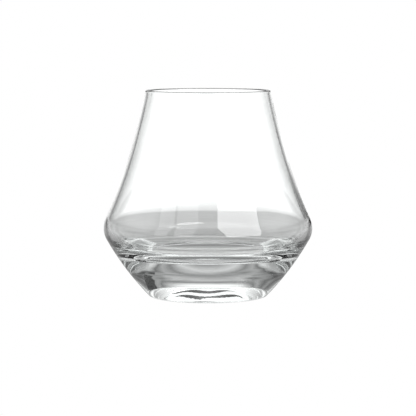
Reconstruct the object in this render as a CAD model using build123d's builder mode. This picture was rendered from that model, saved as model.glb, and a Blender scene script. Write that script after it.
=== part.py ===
"""Whiskey tumbler: one piece of clear soda-lime glass, a tulip bowl on a heavy solid base.

The glass is a body of revolution about +Z. Its origin is the centre of the foot, on the surface
the glass stands on. All sizes are in millimetres.
"""
from build123d import *
import os

os.makedirs("parts", exist_ok=True)

# ---- Overall sizes -------------------------------------------------------------------------
height = 87.0              # foot to lip
rim_radius = 26.5          # outside of the lip
foot_radius = 25.0         # outside of the foot, before its edge is rounded

# ---- Outside: a bellied waist low down, with a wall above and a wall below it ------------------
belly_corner = (45.3, 28.5)   # where the two walls would meet without the rounding
belly_rounding = 9.9          # radius that turns the corner into a smooth belly
upper_wall_bow = 1.8          # the wall above the belly curves inwards, like a tulip
lower_wall_bow = 1.3          # the wall below the belly curves outwards, like a bowl
foot_rounding = 0.8

# ---- Inside: a thin wall, and a bowl that ends in a thick, slightly dished floor ----------------
lip_wall = 1.3                # wall at the lip
bowl_corner = (43.3, 28.6)    # the inside's widest corner, before it is rounded
bowl_rounding = 8.0
floor_corner = (36.4, 19.4)   # where the bowl's side would meet the floor without rounding
floor_rounding = 12.0
floor_height = 18.5           # top of the solid base, on the axis

# ---- Underside: a flat ring to stand on, round a shallow hollow ------------------------------
ring_width = 3.0
hollow_depth = 1.2


def dished_arc(depth_at_axis, edge):
    """A shallow arc that is level on the axis and ends at edge; a quarter of its rise is at half
    of its radius, as on any arc this flat."""
    edge_radius, edge_height = edge
    rise = edge_height - depth_at_axis
    ThreePointArc((0, depth_at_axis), (edge_radius / 2, depth_at_axis + rise / 4), edge)


def tumbler_outline():
    """Half of the section through the axis, as one closed wire in the open BuildLine."""
    lip_bead = lip_wall / 2
    hollow_radius = foot_radius - ring_width
    lip_outside = (rim_radius, height - lip_bead)
    lip_inside = (rim_radius - lip_wall, height - lip_bead)

    Line((0, hollow_depth), (0, floor_height))
    dished_arc(floor_height, floor_corner)
    Line(floor_corner, bowl_corner)
    SagittaArc(bowl_corner, lip_inside, upper_wall_bow)
    ThreePointArc(lip_inside, (rim_radius - lip_bead, height), lip_outside)
    SagittaArc(belly_corner, lip_outside, upper_wall_bow)
    SagittaArc((foot_radius, 0), belly_corner, -lower_wall_bow)
    Line((hollow_radius, 0), (foot_radius, 0))
    dished_arc(hollow_depth, (hollow_radius, 0))


def corner_at(sketch, point):
    """The sketch's vertex at a named corner of the outline."""
    return sketch.vertices().sort_by_distance(Vector(point[0], point[1], 0))[0]


with BuildPart() as tumbler:
    with BuildSketch(Plane.XZ) as section:
        with BuildLine():
            tumbler_outline()
        make_face()
        fillet(corner_at(section.sketch_local, belly_corner), belly_rounding)
        fillet(corner_at(section.sketch_local, bowl_corner), bowl_rounding)
        fillet(corner_at(section.sketch_local, floor_corner), floor_rounding)
        fillet(corner_at(section.sketch_local, (foot_radius, 0)), foot_rounding)
    revolve(axis=Axis.Z)
tumbler.part.label = "tumbler"
export_step(tumbler.part, "parts/tumbler.step")
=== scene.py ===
# %% [markdown]
# # A whiskey tumbler in clear glass
#
# The object is one piece of clear soda-lime glass: a low bellied bowl with a thin wall that draws
# in to a narrower lip, on a heavy solid base. Nothing is fitted to it, so there is one piece to
# make. Almost all of its look is bent light, so the section has to be right, inside as well as
# outside, and the studio round it has to give the glass something to bend.

# %% Load the frame and keep its size
import math

import bpy
import numpy as np
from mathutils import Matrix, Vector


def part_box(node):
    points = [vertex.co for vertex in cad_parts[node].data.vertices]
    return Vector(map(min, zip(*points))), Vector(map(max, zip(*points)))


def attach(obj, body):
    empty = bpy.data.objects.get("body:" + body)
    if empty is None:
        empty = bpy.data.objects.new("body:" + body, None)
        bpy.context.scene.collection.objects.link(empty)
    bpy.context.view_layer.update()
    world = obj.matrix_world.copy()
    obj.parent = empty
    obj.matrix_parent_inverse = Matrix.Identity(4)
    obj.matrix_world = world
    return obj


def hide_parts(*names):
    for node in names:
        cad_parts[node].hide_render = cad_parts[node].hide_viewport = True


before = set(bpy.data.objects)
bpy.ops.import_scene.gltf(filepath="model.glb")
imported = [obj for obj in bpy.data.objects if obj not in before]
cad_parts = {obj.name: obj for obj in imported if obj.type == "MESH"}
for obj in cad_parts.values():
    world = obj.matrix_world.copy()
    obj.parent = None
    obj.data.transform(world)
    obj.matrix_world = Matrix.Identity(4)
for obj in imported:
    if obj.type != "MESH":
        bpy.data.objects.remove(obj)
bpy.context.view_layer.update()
cad_low, cad_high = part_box("tumbler")
MM = 0.001
print("tumbler in the CAD, low corner in mm:", np.round(np.array(cad_low) / MM, 2))
print("tumbler in the CAD, high corner in mm:", np.round(np.array(cad_high) / MM, 2))

# %% [markdown]
# ## The section
#
# A glass like this is blown into a turning mould, so every slice through its axis is the same. It
# could be drawn by hand and spun with a Screw modifier. Here its half section is worked out from a
# few sizes, because the bowl's inside has to sit a known wall thickness within the outside.
# The height comes from the frame, and the other sizes are the ones the glass was designed with.

# %% Sizes, in metres
height = cad_high[2]              # foot to lip
rim_radius = 26.5 * MM            # outside of the lip
foot_radius = 25.0 * MM
belly_corner = (45.3 * MM, 28.5 * MM)   # radius and height where the two outside walls would meet
belly_rounding = 9.9 * MM
upper_wall_bow = 1.8 * MM         # how far the wall above the belly bows off a straight line
lower_wall_bow = 1.3 * MM
foot_rounding = 0.8 * MM

lip_wall = 1.3 * MM
bowl_corner = (43.3 * MM, 28.6 * MM)    # the same corner inside
bowl_rounding = 8.0 * MM
floor_corner = (36.4 * MM, 19.4 * MM)   # where the bowl's side would meet its floor
floor_rounding = 12.0 * MM
floor_height = 18.5 * MM          # the top of the solid base, on the axis

ring_width = 3.0 * MM             # the flat ring it stands on
hollow_depth = 1.2 * MM           # the shallow hollow inside the ring
print("between the two belly corners in mm:", round((belly_corner[0] - bowl_corner[0]) / MM, 1))
print("lip wall in mm:", round(lip_wall / MM, 1))

# %% [markdown]
# ## Arcs and rounded corners
#
# Two tools draw the whole section: an arc that bows off the straight line between two points, and
# a rounding that rolls a circle into a corner until it touches both sides. Both return points, so
# the pieces of the outline can be joined end to end.

# %% Arc and corner tools
CURVE_POINTS = 400


def bowed_arc(start, end, bow, count=CURVE_POINTS):
    """A circular arc from start to end. bow is the height of its middle off the straight line,
    to the right of the way it runs. Its radius is (half chord squared + bow squared) / (2 bow)."""
    start, end = np.array(start, float), np.array(end, float)
    steps = np.linspace(0, 1, count)[:, None]
    chord = np.linalg.norm(end - start)
    along = (end - start) / chord
    if bow == 0:
        return start + steps * (end - start)
    side = np.array([along[1], -along[0]]) * np.sign(bow)
    radius = (chord ** 2 / 4 + bow ** 2) / (2 * abs(bow))
    half_angle = math.asin(min(1, chord / 2 / radius))
    angle = (steps * 2 - 1) * half_angle
    centre = (start + end) / 2 + side * (abs(bow) - radius)
    return centre + radius * (np.cos(angle) * side + np.sin(angle) * along)


def dished_arc(depth_at_axis, edge, count=CURVE_POINTS):
    """A shallow dish from the axis to edge: the height is that on the axis plus the whole rise
    times the square of the share of the radius."""
    share = np.linspace(0, 1, count)
    return np.stack([share * edge[0], depth_at_axis + (edge[1] - depth_at_axis) * share ** 2], 1)


def left_normals(curve):
    """The unit normal to the left of the way a curve runs, at each of its points."""
    along = np.gradient(curve, axis=0)
    along /= np.linalg.norm(along, axis=1)[:, None]
    return np.stack([-along[:, 1], along[:, 0]], 1)


def rounded(first, second, radius, count=48):
    """Joins two curves that meet at a corner. Both are shifted by radius towards the inside of the
    turn; where the shifted curves cross is the circle's centre, and each curve is cut where that
    centre is nearest to it."""
    first_normal, second_normal = left_normals(first), left_normals(second)
    ending, starting = first_normal[-1], second_normal[0]
    turn = np.sign(ending[0] * starting[1] - ending[1] * starting[0])
    first_shifted = first + turn * radius * first_normal
    second_shifted = second + turn * radius * second_normal
    gap = np.linalg.norm(first_shifted[:, None] - second_shifted[None], axis=2)
    i, j = np.unravel_index(np.argmin(gap), gap.shape)
    centre = (first_shifted[i] + second_shifted[j]) / 2
    start = math.atan2(*(first[i] - centre)[::-1])
    end = math.atan2(*(second[j] - centre)[::-1])
    sweep = (end - start + math.pi) % (2 * math.pi) - math.pi
    angle = start + np.linspace(0, 1, count) * sweep
    corner = centre + radius * np.stack([np.cos(angle), np.sin(angle)], 1)
    return np.concatenate([first[:i], corner, second[j + 1:]])


trial_arc = bowed_arc((0, 0), (10 * MM, 0), 1 * MM)
off_straight = np.abs(trial_arc[:, 1]).max()
print("an arc drawn to bow by 1 mm bows by, in mm:", round(off_straight / MM, 2))

# %% [markdown]
# ## The whole outline
#
# The half section starts on the axis under the foot, goes out along the hollow and the ring, up
# the outside, over the lip, down the inside and back to the axis on the bowl's floor. The lip is
# melted round by flame on the real glass, so it is half a circle as wide as the wall.

# %% Half section of the glass
OUTLINE_POINTS = 384
LIP_POINTS = 17
SAME_POINT = 1e-8       # metres; points closer than this are one point


def tumbler_outline():
    """Points (radius, height) from the axis on the underside to the axis on the bowl's floor."""
    bead = lip_wall / 2
    hollow_edge = (foot_radius - ring_width, 0)
    lip_outside = (rim_radius, height - bead)
    lip_inside = (rim_radius - lip_wall, height - bead)
    foot_edge = (foot_radius, 0)

    hollow = dished_arc(hollow_depth, hollow_edge)
    ring = bowed_arc(hollow_edge, foot_edge, 0, count=60)
    lower_wall = bowed_arc(foot_edge, belly_corner, lower_wall_bow)
    upper_wall = bowed_arc(belly_corner, lip_outside, -upper_wall_bow)
    walls = rounded(lower_wall, upper_wall, belly_rounding)
    outside = rounded(ring, walls, foot_rounding, count=16)

    inner_wall = bowed_arc(lip_inside, bowl_corner, upper_wall_bow)
    bowl_side = bowed_arc(bowl_corner, floor_corner, 0)
    bowl_floor = dished_arc(floor_height, floor_corner)[::-1]
    bowl = rounded(inner_wall, bowl_side, bowl_rounding)
    inside = rounded(bowl, bowl_floor, floor_rounding, count=72)

    around = np.linspace(0, math.pi, LIP_POINTS)[:, None]
    lip_centre = np.array([rim_radius - bead, height - bead])
    lip = lip_centre + bead * np.concatenate([np.cos(around), np.sin(around)], 1)
    return np.concatenate([hollow[:-1], outside, lip[1:-1], inside])


def steps_and_lengths(outline):
    """The steps from each point to the next, and how long they are."""
    step = np.diff(outline, axis=0)
    return step, np.linalg.norm(step, axis=1)


def spaced(outline, count, curve_pull=1.6):
    """The same outline with count points, closer together where it turns: the points are even in
    length plus curve_pull millimetres for each radian of turn. Doubled points are dropped first."""
    _, length = steps_and_lengths(outline)
    outline = outline[np.concatenate([[True], length > SAME_POINT])]
    step, length = steps_and_lengths(outline)
    heading = np.unwrap(np.arctan2(step[:, 1], step[:, 0]))
    turn = np.abs(np.diff(heading, prepend=heading[0]))
    travelled = np.concatenate([[0], np.cumsum(length + turn * curve_pull * MM)])
    even = np.linspace(0, travelled[-1], count)
    return np.stack([np.interp(even, travelled, outline[:, k]) for k in (0, 1)], 1)


section = spaced(tumbler_outline(), OUTLINE_POINTS)
print("outline points:", len(section))
print("widest radius in mm:", round(section[:, 0].max() / MM, 3))

# %% [markdown]
# ## Spinning the section
#
# The surface is a grid of two parameters, the place along the outline and the angle about the
# axis. Real glass is never quite true: the mould and the gather leave long, very low ripples that
# only show because the thick base magnifies them. They are added here as a few slow waves of a few
# thousandths of a millimetre, which fade out at the lip and on the ring that the glass stands on.

# %% The glass as a grid of two parameters
TURNS = 256
# each wave's number of lobes round the glass, its phase, and its height in millimetres
waves = ((3, 0.0, 0.0035), (5, 1.1, 0.0030), (8, 2.6, 0.0020), (13, 4.2, 0.0012))


def ripple(radius, level, angle):
    """How far the surface moves along its normal, in metres: the sum of slow waves round the axis,
    each with its own phase, that drift with height. It is nothing on the axis and at the foot."""
    total = np.zeros(np.broadcast(radius, angle).shape)
    for lobes, phase, size in waves:
        drift = level / MM * (0.11 + 0.013 * lobes)
        total += size * MM * np.sin(lobes * angle + phase + drift)
    away_from_axis = np.clip(radius / (12 * MM), 0, 1) ** 2
    above_foot = np.clip(level / (2 * MM), 0, 1) ** 2
    below_lip = np.clip((height - level) / (6 * MM), 0, 1) ** 2
    return total * away_from_axis * above_foot * below_lip


def spun_mesh(name, outline, turns):
    """A closed surface of revolution. A point is (radius cos angle, radius sin angle, height); the
    two ends of the outline lie on the axis and close with a fan of triangles."""
    angle = np.arange(turns)[None, :] * 2 * math.pi / turns
    normal = -left_normals(outline)
    radius, level = outline[1:-1, :1], outline[1:-1, 1:]
    shift = ripple(radius, level, angle)
    ring_radius = radius + shift * normal[1:-1, :1]
    ring_level = level + shift * normal[1:-1, 1:]
    rings = np.stack([ring_radius * np.cos(angle), ring_radius * np.sin(angle), ring_level], 2)
    ends = np.array([[0, 0, outline[0, 1]], [0, 0, outline[-1, 1]]])
    points = np.concatenate([rings.reshape(-1, 3), ends])

    row = np.arange(len(outline) - 3)[:, None] * turns
    here = np.arange(turns)[None, :]
    after = (here + 1) % turns
    walls = np.stack([row + here, row + after, row + turns + after, row + turns + here], 2)
    last_row = (len(outline) - 3) * turns
    under = np.stack([np.full(turns, len(points) - 2), after[0], here[0]], 1)
    floor = np.stack([np.full(turns, len(points) - 1), last_row + here[0], last_row + after[0]], 1)

    mesh = bpy.data.meshes.new(name)
    faces = walls.reshape(-1, 4).tolist() + under.tolist() + floor.tolist()
    mesh.from_pydata(points.tolist(), [], faces)
    mesh.polygons.foreach_set("use_smooth", np.ones(len(mesh.polygons), bool))
    mesh.update()
    return mesh


glass_mesh = spun_mesh("tumbler_glass", section, TURNS)
tumbler = bpy.data.objects.new("tumbler_glass", glass_mesh)
bpy.context.scene.collection.objects.link(tumbler)
triangles = sum(len(face.vertices) - 2 for face in glass_mesh.polygons)
print("tumbler_glass triangles:", triangles)

# %% [markdown]
# ## Helpers for nodes
#
# A material is a small tree of nodes. It could be wired by hand in the Shader Editor. In a script
# the same three moves come up each time: start an empty tree, add a node, and set its sockets by
# name. A few short functions keep those moves out of the way of the recipe itself.

# %% Node helpers
def node_adder(tree):
    """Empties a tree of nodes. What comes back is a function that adds a node with its settings."""
    tree.nodes.clear()

    def add(kind, **settings):
        node = tree.nodes.new(kind)
        for key, value in settings.items():
            setattr(node, key, value)
        return node

    return add


def new_material(name):
    """A material with an empty tree, a function that adds nodes to it and one that links them."""
    material = bpy.data.materials.new(name)
    material.use_nodes = True
    return material, node_adder(material.node_tree), material.node_tree.links.new


def set_inputs(node, values):
    """Sets sockets by name."""
    for key, value in values.items():
        node.inputs[key].default_value = value


def grey(value):
    """A grey of one brightness, as a colour socket wants it."""
    return (value, value, value, 1)


print("materials before the first recipe:", len(bpy.data.materials))

# %% [markdown]
# ## Clear glass
#
# Clear soda-lime glass bends light by 1.52 and takes a breath of green from its iron, which only
# the thick base is deep enough to show. A shader could colour the surface, but on real glass the
# colour is in the depth, so most of the tint is absorption in the volume. The skin is fire
# polished and has no roughness, except on the ring it stands on, which is scuffed by tables.

# %% Clear glass, scuffed where it stands
glass_index = 1.52
skin_colour = (0.988, 0.996, 0.994, 1)
depth_colour = (0.80, 0.93, 0.90, 1)
depth_density = 1.5               # how soon the depth takes that colour, per metre
worn_to = (0.05 * MM, 0.25 * MM)  # the heights between which the wear fades out
scuff_roughness = (0.02, 0.35)    # between the scuffs and in them
flow_height = 0.012 * MM


def clear_glass():
    """Principled glass with a worn ring: the roughness is scratch noise times a mask that is one
    on the lowest fifth of a millimetre and fades to nothing above it."""
    material, add, link = new_material("clear_glass")
    output = add("ShaderNodeOutputMaterial")
    glass = add("ShaderNodeBsdfPrincipled")
    set_inputs(glass, {"Base Color": skin_colour, "Transmission Weight": 1.0,
                       "IOR": glass_index, "Specular IOR Level": 0.5})
    depth_tint = add("ShaderNodeVolumeAbsorption")
    set_inputs(depth_tint, {"Color": depth_colour, "Density": depth_density})
    place = add("ShaderNodeTexCoord")
    split = add("ShaderNodeSeparateXYZ")
    link(place.outputs["Object"], split.inputs["Vector"])

    at_foot = add("ShaderNodeMapRange")
    set_inputs(at_foot, {"From Min": worn_to[0], "From Max": worn_to[1], "To Min": 1.0, "To Max": 0.0})
    link(split.outputs["Z"], at_foot.inputs["Value"])
    scuffs = add("ShaderNodeTexNoise")
    set_inputs(scuffs, {"Scale": 900.0, "Detail": 6.0, "Roughness": 0.7})
    link(place.outputs["Object"], scuffs.inputs["Vector"])
    scuff_depth = add("ShaderNodeMapRange")
    set_inputs(scuff_depth, {"From Min": 0.40, "From Max": 0.65,
                             "To Min": scuff_roughness[0], "To Max": scuff_roughness[1]})
    link(scuffs.outputs["Fac"], scuff_depth.inputs["Value"])
    worn = add("ShaderNodeMath", operation="MULTIPLY")
    link(at_foot.outputs["Result"], worn.inputs[0])
    link(scuff_depth.outputs["Result"], worn.inputs[1])
    link(worn.outputs["Value"], glass.inputs["Roughness"])

    flow = add("ShaderNodeTexNoise")
    set_inputs(flow, {"Scale": 55.0, "Detail": 2.0, "Roughness": 0.4})
    stretch = add("ShaderNodeMapping")
    set_inputs(stretch, {"Scale": (1.0, 1.0, 2.2)})
    link(place.outputs["Object"], stretch.inputs["Vector"])
    link(stretch.outputs["Vector"], flow.inputs["Vector"])
    skin = add("ShaderNodeBump")
    set_inputs(skin, {"Strength": 1.0, "Distance": flow_height})
    link(flow.outputs["Fac"], skin.inputs["Height"])
    link(skin.outputs["Normal"], glass.inputs["Normal"])

    link(glass.outputs["BSDF"], output.inputs["Surface"])
    link(depth_tint.outputs["Volume"], output.inputs["Volume"])
    return material


tumbler.data.materials.append(clear_glass())
print("tumbler_glass wears", tumbler.data.materials[0].name)

# %% [markdown]
# ## The glass takes its place
#
# The finished surface stands for the whole tumbler of the CAD model, because one piece of glass is
# all there is. Nothing on it moves, so it rides on the root.

# %% One piece, one material, nothing that moves
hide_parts("tumbler")
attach(tumbler, "root")
print("tumbler_glass stands for: tumbler")

# %% [markdown]
# ## The studio
#
# Clear glass is lit by what stands behind it, not by what shines on it. A lamp on bare glass gives
# a few sparks and no form. The usual way is a white tent: a bright backdrop, a pale table with
# painted shadow that turns it grey close to the glass, dark edges at the sides that draw the
# outline, and one window of light for the glass to mirror. The camera itself sees floor and tent as
# plain white. All of it is glowing light that casts no shadows, and the table's shadow is painted
# into its greys, so the picture is clean and quick to make.

# %% Studio helpers: glowing faces
def glowing(name, brightness):
    """A surface that gives the same light everywhere."""
    material, add, link = new_material(name)
    lamp = add("ShaderNodeEmission")
    set_inputs(lamp, {"Color": grey(brightness)})
    output = add("ShaderNodeOutputMaterial")
    link(lamp.outputs["Emission"], output.inputs["Surface"])
    return material


def flat_piece(name, corners, material):
    """A stage object with one face."""
    mesh = bpy.data.meshes.new(name)
    points = [tuple(map(float, corner)) for corner in corners]
    mesh.from_pydata(points, [], [list(range(len(points)))])
    mesh.materials.append(material)
    piece = bpy.data.objects.new(name, mesh)
    bpy.context.scene.collection.objects.link(piece)
    return piece


def direction(azimuth, elevation):
    """A unit vector: azimuth 0 is behind the glass, 90 its right side, 180 the camera's side."""
    a, e = math.radians(azimuth), math.radians(elevation)
    return np.array([math.sin(a) * math.cos(e), math.cos(a) * math.cos(e), math.sin(e)])


print("the camera's side is towards", np.round(direction(180, 0), 3))

# %% [markdown]
# ## Light that changes from place to place
#
# A real sweep of paper is brighter where the lamps reach it. A colour ramp turns any number, such
# as a distance or an angle, into a brightness by way of a few stops, which is easier to read and
# to tune than a formula. Floor and tent are both drawn with it.

# %% A ramp through a few stops
def ramp(add, link, source, low, high, stops):
    """Brightness through (position, value) stops, straight from one to the next, as nodes. The
    position is squeezed from low..high to 0..1, as the ramp wants it."""
    share = add("ShaderNodeMapRange")
    set_inputs(share, {"From Min": low, "From Max": high})
    link(source, share.inputs["Value"])
    curve = add("ShaderNodeValToRGB")
    elements = curve.color_ramp.elements
    elements.remove(elements[-1])
    for number, (position, value) in enumerate(stops):
        place = (position - low) / (high - low)
        stop = elements[0] if number == 0 else elements.new(place)
        stop.position = place
        stop.color = grey(value)
    link(share.outputs["Result"], curve.inputs["Fac"])
    return curve.outputs["Color"]


print("the ramp is ready, and works for floor and tent alike")

# %% [markdown]
# ## The floor
#
# The thin wall shows the table behind it hardly bent, so the grey band low in the glass is the
# table, and the line where the band ends is where the table turns white. The floor could be lit by
# lamps, but then the glass would throw caustics that take long to settle. Here it glows with greys
# that are partly the table's tone and partly painted shadow: by distance from the glass, with a
# painted dark ring of shadow under the bowl's overhang just outside the foot, darker on the
# camera's side as painted shade of the glass, and almost white off to both sides.

# %% Greys of the floor, the table's tone with painted shadow near the glass, as (metres from the axis, brightness)
far_greys = [(0.283, 0.56), (0.30, 0.85), (0.36, 1.05), (0.45, 1.5)]
# behind the glass: the table's tone, darkened from 30 to 80 mm by a painted shadow under the bowl's
# overhang
greys_and_painted_shadow_behind = [(0.0, 0.46), (0.026, 0.46), (0.030, 0.22), (0.046, 0.24),
                (0.060, 0.36), (0.080, 0.43), (0.15, 0.50)] + far_greys
# in front of the glass: painted shade of the glass, darkest from 30 to 80 mm and fading out by 200 mm
greys_and_painted_shade_in_front = [(0.0, 0.46), (0.026, 0.46), (0.030, 0.10), (0.080, 0.16),
                  (0.12, 0.55), (0.20, 0.9), (0.45, 1.5)]
grey_to_side = 0.95
side_from, side_to = 70 * MM, 125 * MM      # the sideways reach over which that grey takes over
# over this Y the painted shade of the glass on the camera's side takes over from the greys behind
front_shade_from, front_shade_to = 10 * MM, -25 * MM    # the Y over which the greys in front take over
table_half = 0.6
table_level = -0.2 * MM                     # a hair below the foot, so the two never touch
print("grey stops behind and in front:", len(greys_and_painted_shadow_behind), len(greys_and_painted_shade_in_front))

# %% The floor
def table_greys_and_painted_shadow(add, link):
    """The floor's brightness, painted shadow included, as one socket: a mix of the greys behind and
    in front by Y, then of that and the near white by how far off to the side a place is."""
    place = add("ShaderNodeTexCoord")
    reach = add("ShaderNodeVectorMath", operation="LENGTH")
    link(place.outputs["Object"], reach.inputs[0])
    split = add("ShaderNodeSeparateXYZ")
    link(place.outputs["Object"], split.inputs["Vector"])

    # painted shade: towards the camera's side the floor takes the darker greys in front
    shade = add("ShaderNodeMapRange", interpolation_type="SMOOTHSTEP")
    set_inputs(shade, {"From Min": front_shade_from, "From Max": front_shade_to})
    link(split.outputs["Y"], shade.inputs["Value"])
    lengthwise = add("ShaderNodeMix", data_type="RGBA")
    link(shade.outputs["Result"], lengthwise.inputs["Factor"])
    for socket, stops in (("A", greys_and_painted_shadow_behind), ("B", greys_and_painted_shade_in_front)):
        greys = ramp(add, link, reach.outputs["Value"], 0, table_half, stops)
        link(greys, lengthwise.inputs[socket])

    aside = add("ShaderNodeMath", operation="ABSOLUTE")
    link(split.outputs["X"], aside.inputs[0])
    to_side = add("ShaderNodeMapRange", interpolation_type="SMOOTHSTEP")
    set_inputs(to_side, {"From Min": side_from, "From Max": side_to})
    link(aside.outputs["Value"], to_side.inputs["Value"])
    whiter = add("ShaderNodeMix", data_type="RGBA")
    link(to_side.outputs["Result"], whiter.inputs["Factor"])
    link(lengthwise.outputs["Result"], whiter.inputs["A"])
    set_inputs(whiter, {"B": grey(grey_to_side)})
    return whiter.outputs["Result"]


def table_top():
    """The floor's greys with their painted shadow for rays that come through the glass, and plain
    white for the camera.
    """
    material, add, link = new_material("table_top")
    lamp = add("ShaderNodeEmission")
    link(table_greys_and_painted_shadow(add, link), lamp.inputs["Color"])
    plain = add("ShaderNodeEmission")
    ray = add("ShaderNodeLightPath")
    choose = add("ShaderNodeMixShader")
    output = add("ShaderNodeOutputMaterial")
    link(ray.outputs["Is Camera Ray"], choose.inputs["Fac"])
    link(lamp.outputs["Emission"], choose.inputs[1])
    link(plain.outputs["Emission"], choose.inputs[2])
    link(choose.outputs["Shader"], output.inputs["Surface"])
    return material


floor_corners = [(-table_half, -table_half, table_level), (table_half, -table_half, table_level),
                 (table_half, table_half, table_level), (-table_half, table_half, table_level)]
floor = flat_piece("floor", floor_corners, table_top())
print("floor is", round(floor.dimensions[0], 2), "m wide")

# %% [markdown]
# ## The tent
#
# Past the floor's edge the glass bends light from every direction, so the tent is a brightness for
# each direction. It could be built from curved walls; a world background with two ramps is the
# same thing with nothing to model. One ramp goes by elevation and holds the thin dark and bright
# bands that give the thick base its stripes; they hang a little lower to either side, as a sweep
# of paper does, which straightens them in the base. The other goes by azimuth and holds the dark
# strips that stand left and right of the glass and draw its outline. Overhead it is plain white.

# %% Bands as (elevation, brightness), strips as (azimuth, brightness), in degrees
backdrop = [(-90, 1.3), (2, 1.1), (3.2, 0.55), (4.5, 0.5), (4.9, 0.26), (5.3, 0.70), (5.8, 0.36),
            (6.2, 0.64), (6.7, 0.68), (7.1, 0.36), (7.6, 0.24), (8.1, 0.24), (8.8, 0.58),
            (9.1, 0.56), (9.7, 0.18), (10.0, 0.26), (10.5, 0.85), (10.9, 1.3), (90, 1.3)]
bands_bow = 0.0036        # degrees that the bands drop per square degree of azimuth
bands_bow_reach = 22      # azimuth past which they drop no further
sides = [(0, 1.0), (14, 1.0), (20, 0.85), (28, 0.60), (38, 0.35), (52, 0.35), (62, 0.6),
         (70, 0.85), (76, 1.0), (104, 1.0), (110, 0.85), (118, 0.5), (128, 0.22), (180, 0.2)]
overhead = [(-90, 1.0), (-4, 1.0), (-2.5, 0.0), (35, 0.0), (45, 1.0), (90, 1.0)]  # share of white
overhead_white = 1.3
print("bands and strips:", len(backdrop), len(sides))

# %% The tent, part one: elevation and azimuth as numbers
tent = bpy.data.worlds.new("tent")
bpy.context.scene.world = tent
tent.use_nodes = True
tent_add = node_adder(tent.node_tree)
tent_link = tent.node_tree.links.new


def tent_math(operation, *terms):
    """One sum in the tent's graph. Each term is a socket or a plain number."""
    node = tent_add("ShaderNodeMath", operation=operation)
    for number, term in enumerate(terms):
        if isinstance(term, (int, float)):
            node.inputs[number].default_value = term
        else:
            tent_link(term, node.inputs[number])
    return node.outputs["Value"]


tent_place = tent_add("ShaderNodeTexCoord")
tent_split = tent_add("ShaderNodeSeparateXYZ")
tent_link(tent_place.outputs["Generated"], tent_split.inputs["Vector"])
elevation = tent_math("DEGREES", tent_math("ARCSINE", tent_split.outputs["Z"]))
swing = tent_math("ARCTAN2", tent_split.outputs["X"], tent_split.outputs["Y"])
either_side = tent_math("ABSOLUTE", tent_math("DEGREES", swing))

near_middle = tent_math("MINIMUM", either_side, bands_bow_reach)
azimuth_squared = tent_math("MULTIPLY", near_middle, near_middle)
bands_drop = tent_math("MULTIPLY", azimuth_squared, bands_bow)
bowed_elevation = tent_math("ADD", elevation, bands_drop)
print("tent nodes so far:", len(tent.node_tree.nodes))

# %% The tent, part two: bands times strips, white overhead, white for the camera
bands = ramp(tent_add, tent_link, bowed_elevation, -90, 90, backdrop)
strips = ramp(tent_add, tent_link, either_side, 0, 180, sides)
high_up = ramp(tent_add, tent_link, elevation, -90, 90, overhead)
low_light = tent_add("ShaderNodeMix", data_type="RGBA", blend_type="MULTIPLY")
set_inputs(low_light, {"Factor": 1})
tent_link(bands, low_light.inputs["A"])
tent_link(strips, low_light.inputs["B"])
whole = tent_add("ShaderNodeMix", data_type="RGBA")
set_inputs(whole, {"B": grey(overhead_white)})
tent_link(high_up, whole.inputs["Factor"])
tent_link(low_light.outputs["Result"], whole.inputs["A"])

ray = tent_add("ShaderNodeLightPath")
seen = tent_add("ShaderNodeMix", data_type="RGBA")
set_inputs(seen, {"B": grey(1)})
tent_link(ray.outputs["Is Camera Ray"], seen.inputs["Factor"])
tent_link(whole.outputs["Result"], seen.inputs["A"])
light = tent_add("ShaderNodeBackground")
tent_link(seen.outputs["Result"], light.inputs["Color"])
world_output = tent_add("ShaderNodeOutputWorld")
tent_link(light.outputs["Background"], world_output.inputs["Surface"])
print("tent nodes:", len(tent.node_tree.nodes))

# %% [markdown]
# ## Windows of light
#
# The bright shape on a glass's shoulder is a softbox, mirrored by the outside of the wall. It is a
# plain rectangle that glows; the curve of the glass bends it into a tapering patch. Area lamps
# would do the same, but a card can be kept out of what shows through the glass, so that it only
# mirrors. One wide card on the right and two dim narrow ones on the left do it.

# %% Cards that the glass mirrors
def light_card(name, azimuth, elevation, distance, width, tall, brightness, through_glass=False):
    """A rectangle that faces the glass and that the camera doesn't see. It shows as a reflection
    on the glass, and only shows through the glass as well where through_glass is set."""
    towards = direction(azimuth, elevation)
    sideways = direction(azimuth + 90, 0)
    upwards = np.cross(sideways, towards)
    centre = np.array([0, 0, height / 2]) + towards * distance
    half_width, half_height = sideways * width / 2, upwards * tall / 2
    corners = [centre - half_width - half_height, centre + half_width - half_height,
               centre + half_width + half_height, centre - half_width + half_height]
    card = flat_piece(name, corners, glowing(name, brightness))
    card.visible_camera = False
    card.visible_transmission = through_glass
    return card


softbox = {"elevation": 30, "distance": 1.0, "tall": 1.1}
windows = [
    light_card("window_light", azimuth=141, width=0.78, brightness=7.0, **softbox),
    light_card("left_window_near", azimuth=-154, width=0.38, brightness=2.2, **softbox),
    light_card("left_window_far", azimuth=-128, width=0.28, brightness=2.6, **softbox),
]
print("windows of light:", len(windows))

# %% [markdown]
# ## Flags
#
# Photographers hang black card, called flags, where clear glass needs a dark line. A small one low
# behind the glass on the right darkens that edge, because the wall there bends light from just
# beside it. Two curved strips high overhead only reach the camera through the thick base, which
# squeezes them into two dark streaks above the foot. Painting the lines on would be easier, but
# they would not slide over the glass as the viewpoint moves.

# %% Dark card behind the right edge
flag = light_card("low_flag", azimuth=27, elevation=-2.0, distance=0.30, width=0.045, tall=0.030,
                  brightness=0.03, through_glass=True)
flag_centre = np.mean([corner.co for corner in flag.data.vertices], axis=0)
print("the flag's centre, in mm:", np.round(flag_centre / MM, 1))

# %% Dark strips overhead
strip_level = 1.0
strip_brightness = 0.05


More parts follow.
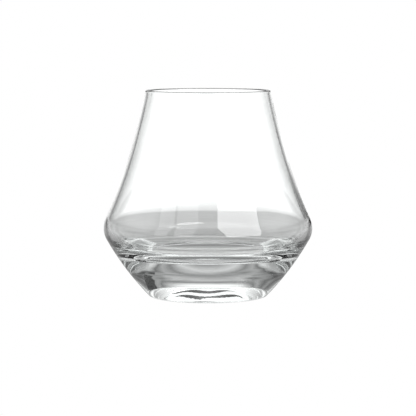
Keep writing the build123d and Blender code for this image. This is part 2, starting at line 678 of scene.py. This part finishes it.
def overhead_strip(name, middle, half_length, near, far, near_bend, far_bend):
    """A dark lens-shaped bar a metre up. Its two edges are y = near + near_bend x squared and
    y = far + far_bend x squared, drawn together at the ends by 1 minus the share along squared."""
    share = np.linspace(-1, 1, 17)
    across = middle + share * half_length
    near_edge = near + near_bend * across ** 2
    far_edge = far + far_bend * across ** 2
    centre_line = (near_edge + far_edge) / 2
    half_width = (far_edge - near_edge) / 2 * (1 - share ** 2)
    near_side = list(zip(across, centre_line - half_width))
    far_side = list(zip(across, centre_line + half_width))
    back_again = far_side[-2:0:-1]      # without its ends, which the near side already has
    corners = [(x, y, strip_level) for x, y in near_side + back_again]
    strip = flat_piece(name, corners, glowing(name, strip_brightness))
    strip.visible_camera = False
    strip.visible_glossy = False
    return strip


overhead_strips = [
    overhead_strip("strip_far", middle=0.09, half_length=0.42,
                   near=0.146, far=0.182, near_bend=2.2, far_bend=3.6),
    overhead_strip("strip_near", middle=-0.02, half_length=0.42,
                   near=0.1212, far=0.1265, near_bend=1.3, far_bend=1.8),
]
print("strips overhead:", len(overhead_strips))

# %% [markdown]
# ## The camera
#
# A long lens from a little above the lip keeps the outline true and shows the lip as a thin
# ellipse. Its place is worked out from what it looks at, how far off it is and how high.

# %% Camera
aim_height = 37.1 * MM
camera_distance = 0.8014
camera_elevation = 5.557          # degrees above level
lens_length = 163.65              # millimetres, on a sensor 36 mm wide
camera_data = bpy.data.cameras.new("camera")
camera_data.lens = lens_length
camera_data.sensor_width = 36
camera_data.clip_start = 0.01
camera = bpy.data.objects.new("camera", camera_data)
camera.location = np.array([0, 0, aim_height]) + direction(180, camera_elevation) * camera_distance
camera.rotation_euler = (math.radians(90 - camera_elevation), 0, 0)
bpy.context.scene.collection.objects.link(camera)
bpy.context.scene.camera = camera
print("camera at", np.round(np.array(camera.location), 4))

# %% [markdown]
# ## Depth of glass
#
# Light crosses many faces of glass before it leaves the base, so the light paths are allowed more
# turns than usual, and the picture is shown as it is, without a film curve that greys its whites.

# %% Light paths and view
most_turns = 24
most_mirrorings = 12
bpy.context.scene.view_settings.view_transform = "Standard"
bpy.context.scene.cycles.max_bounces = most_turns
bpy.context.scene.cycles.transmission_bounces = most_turns
bpy.context.scene.cycles.glossy_bounces = most_mirrorings
bpy.context.scene.cycles.caustics_refractive = True
print("light may turn", bpy.context.scene.cycles.max_bounces, "times")
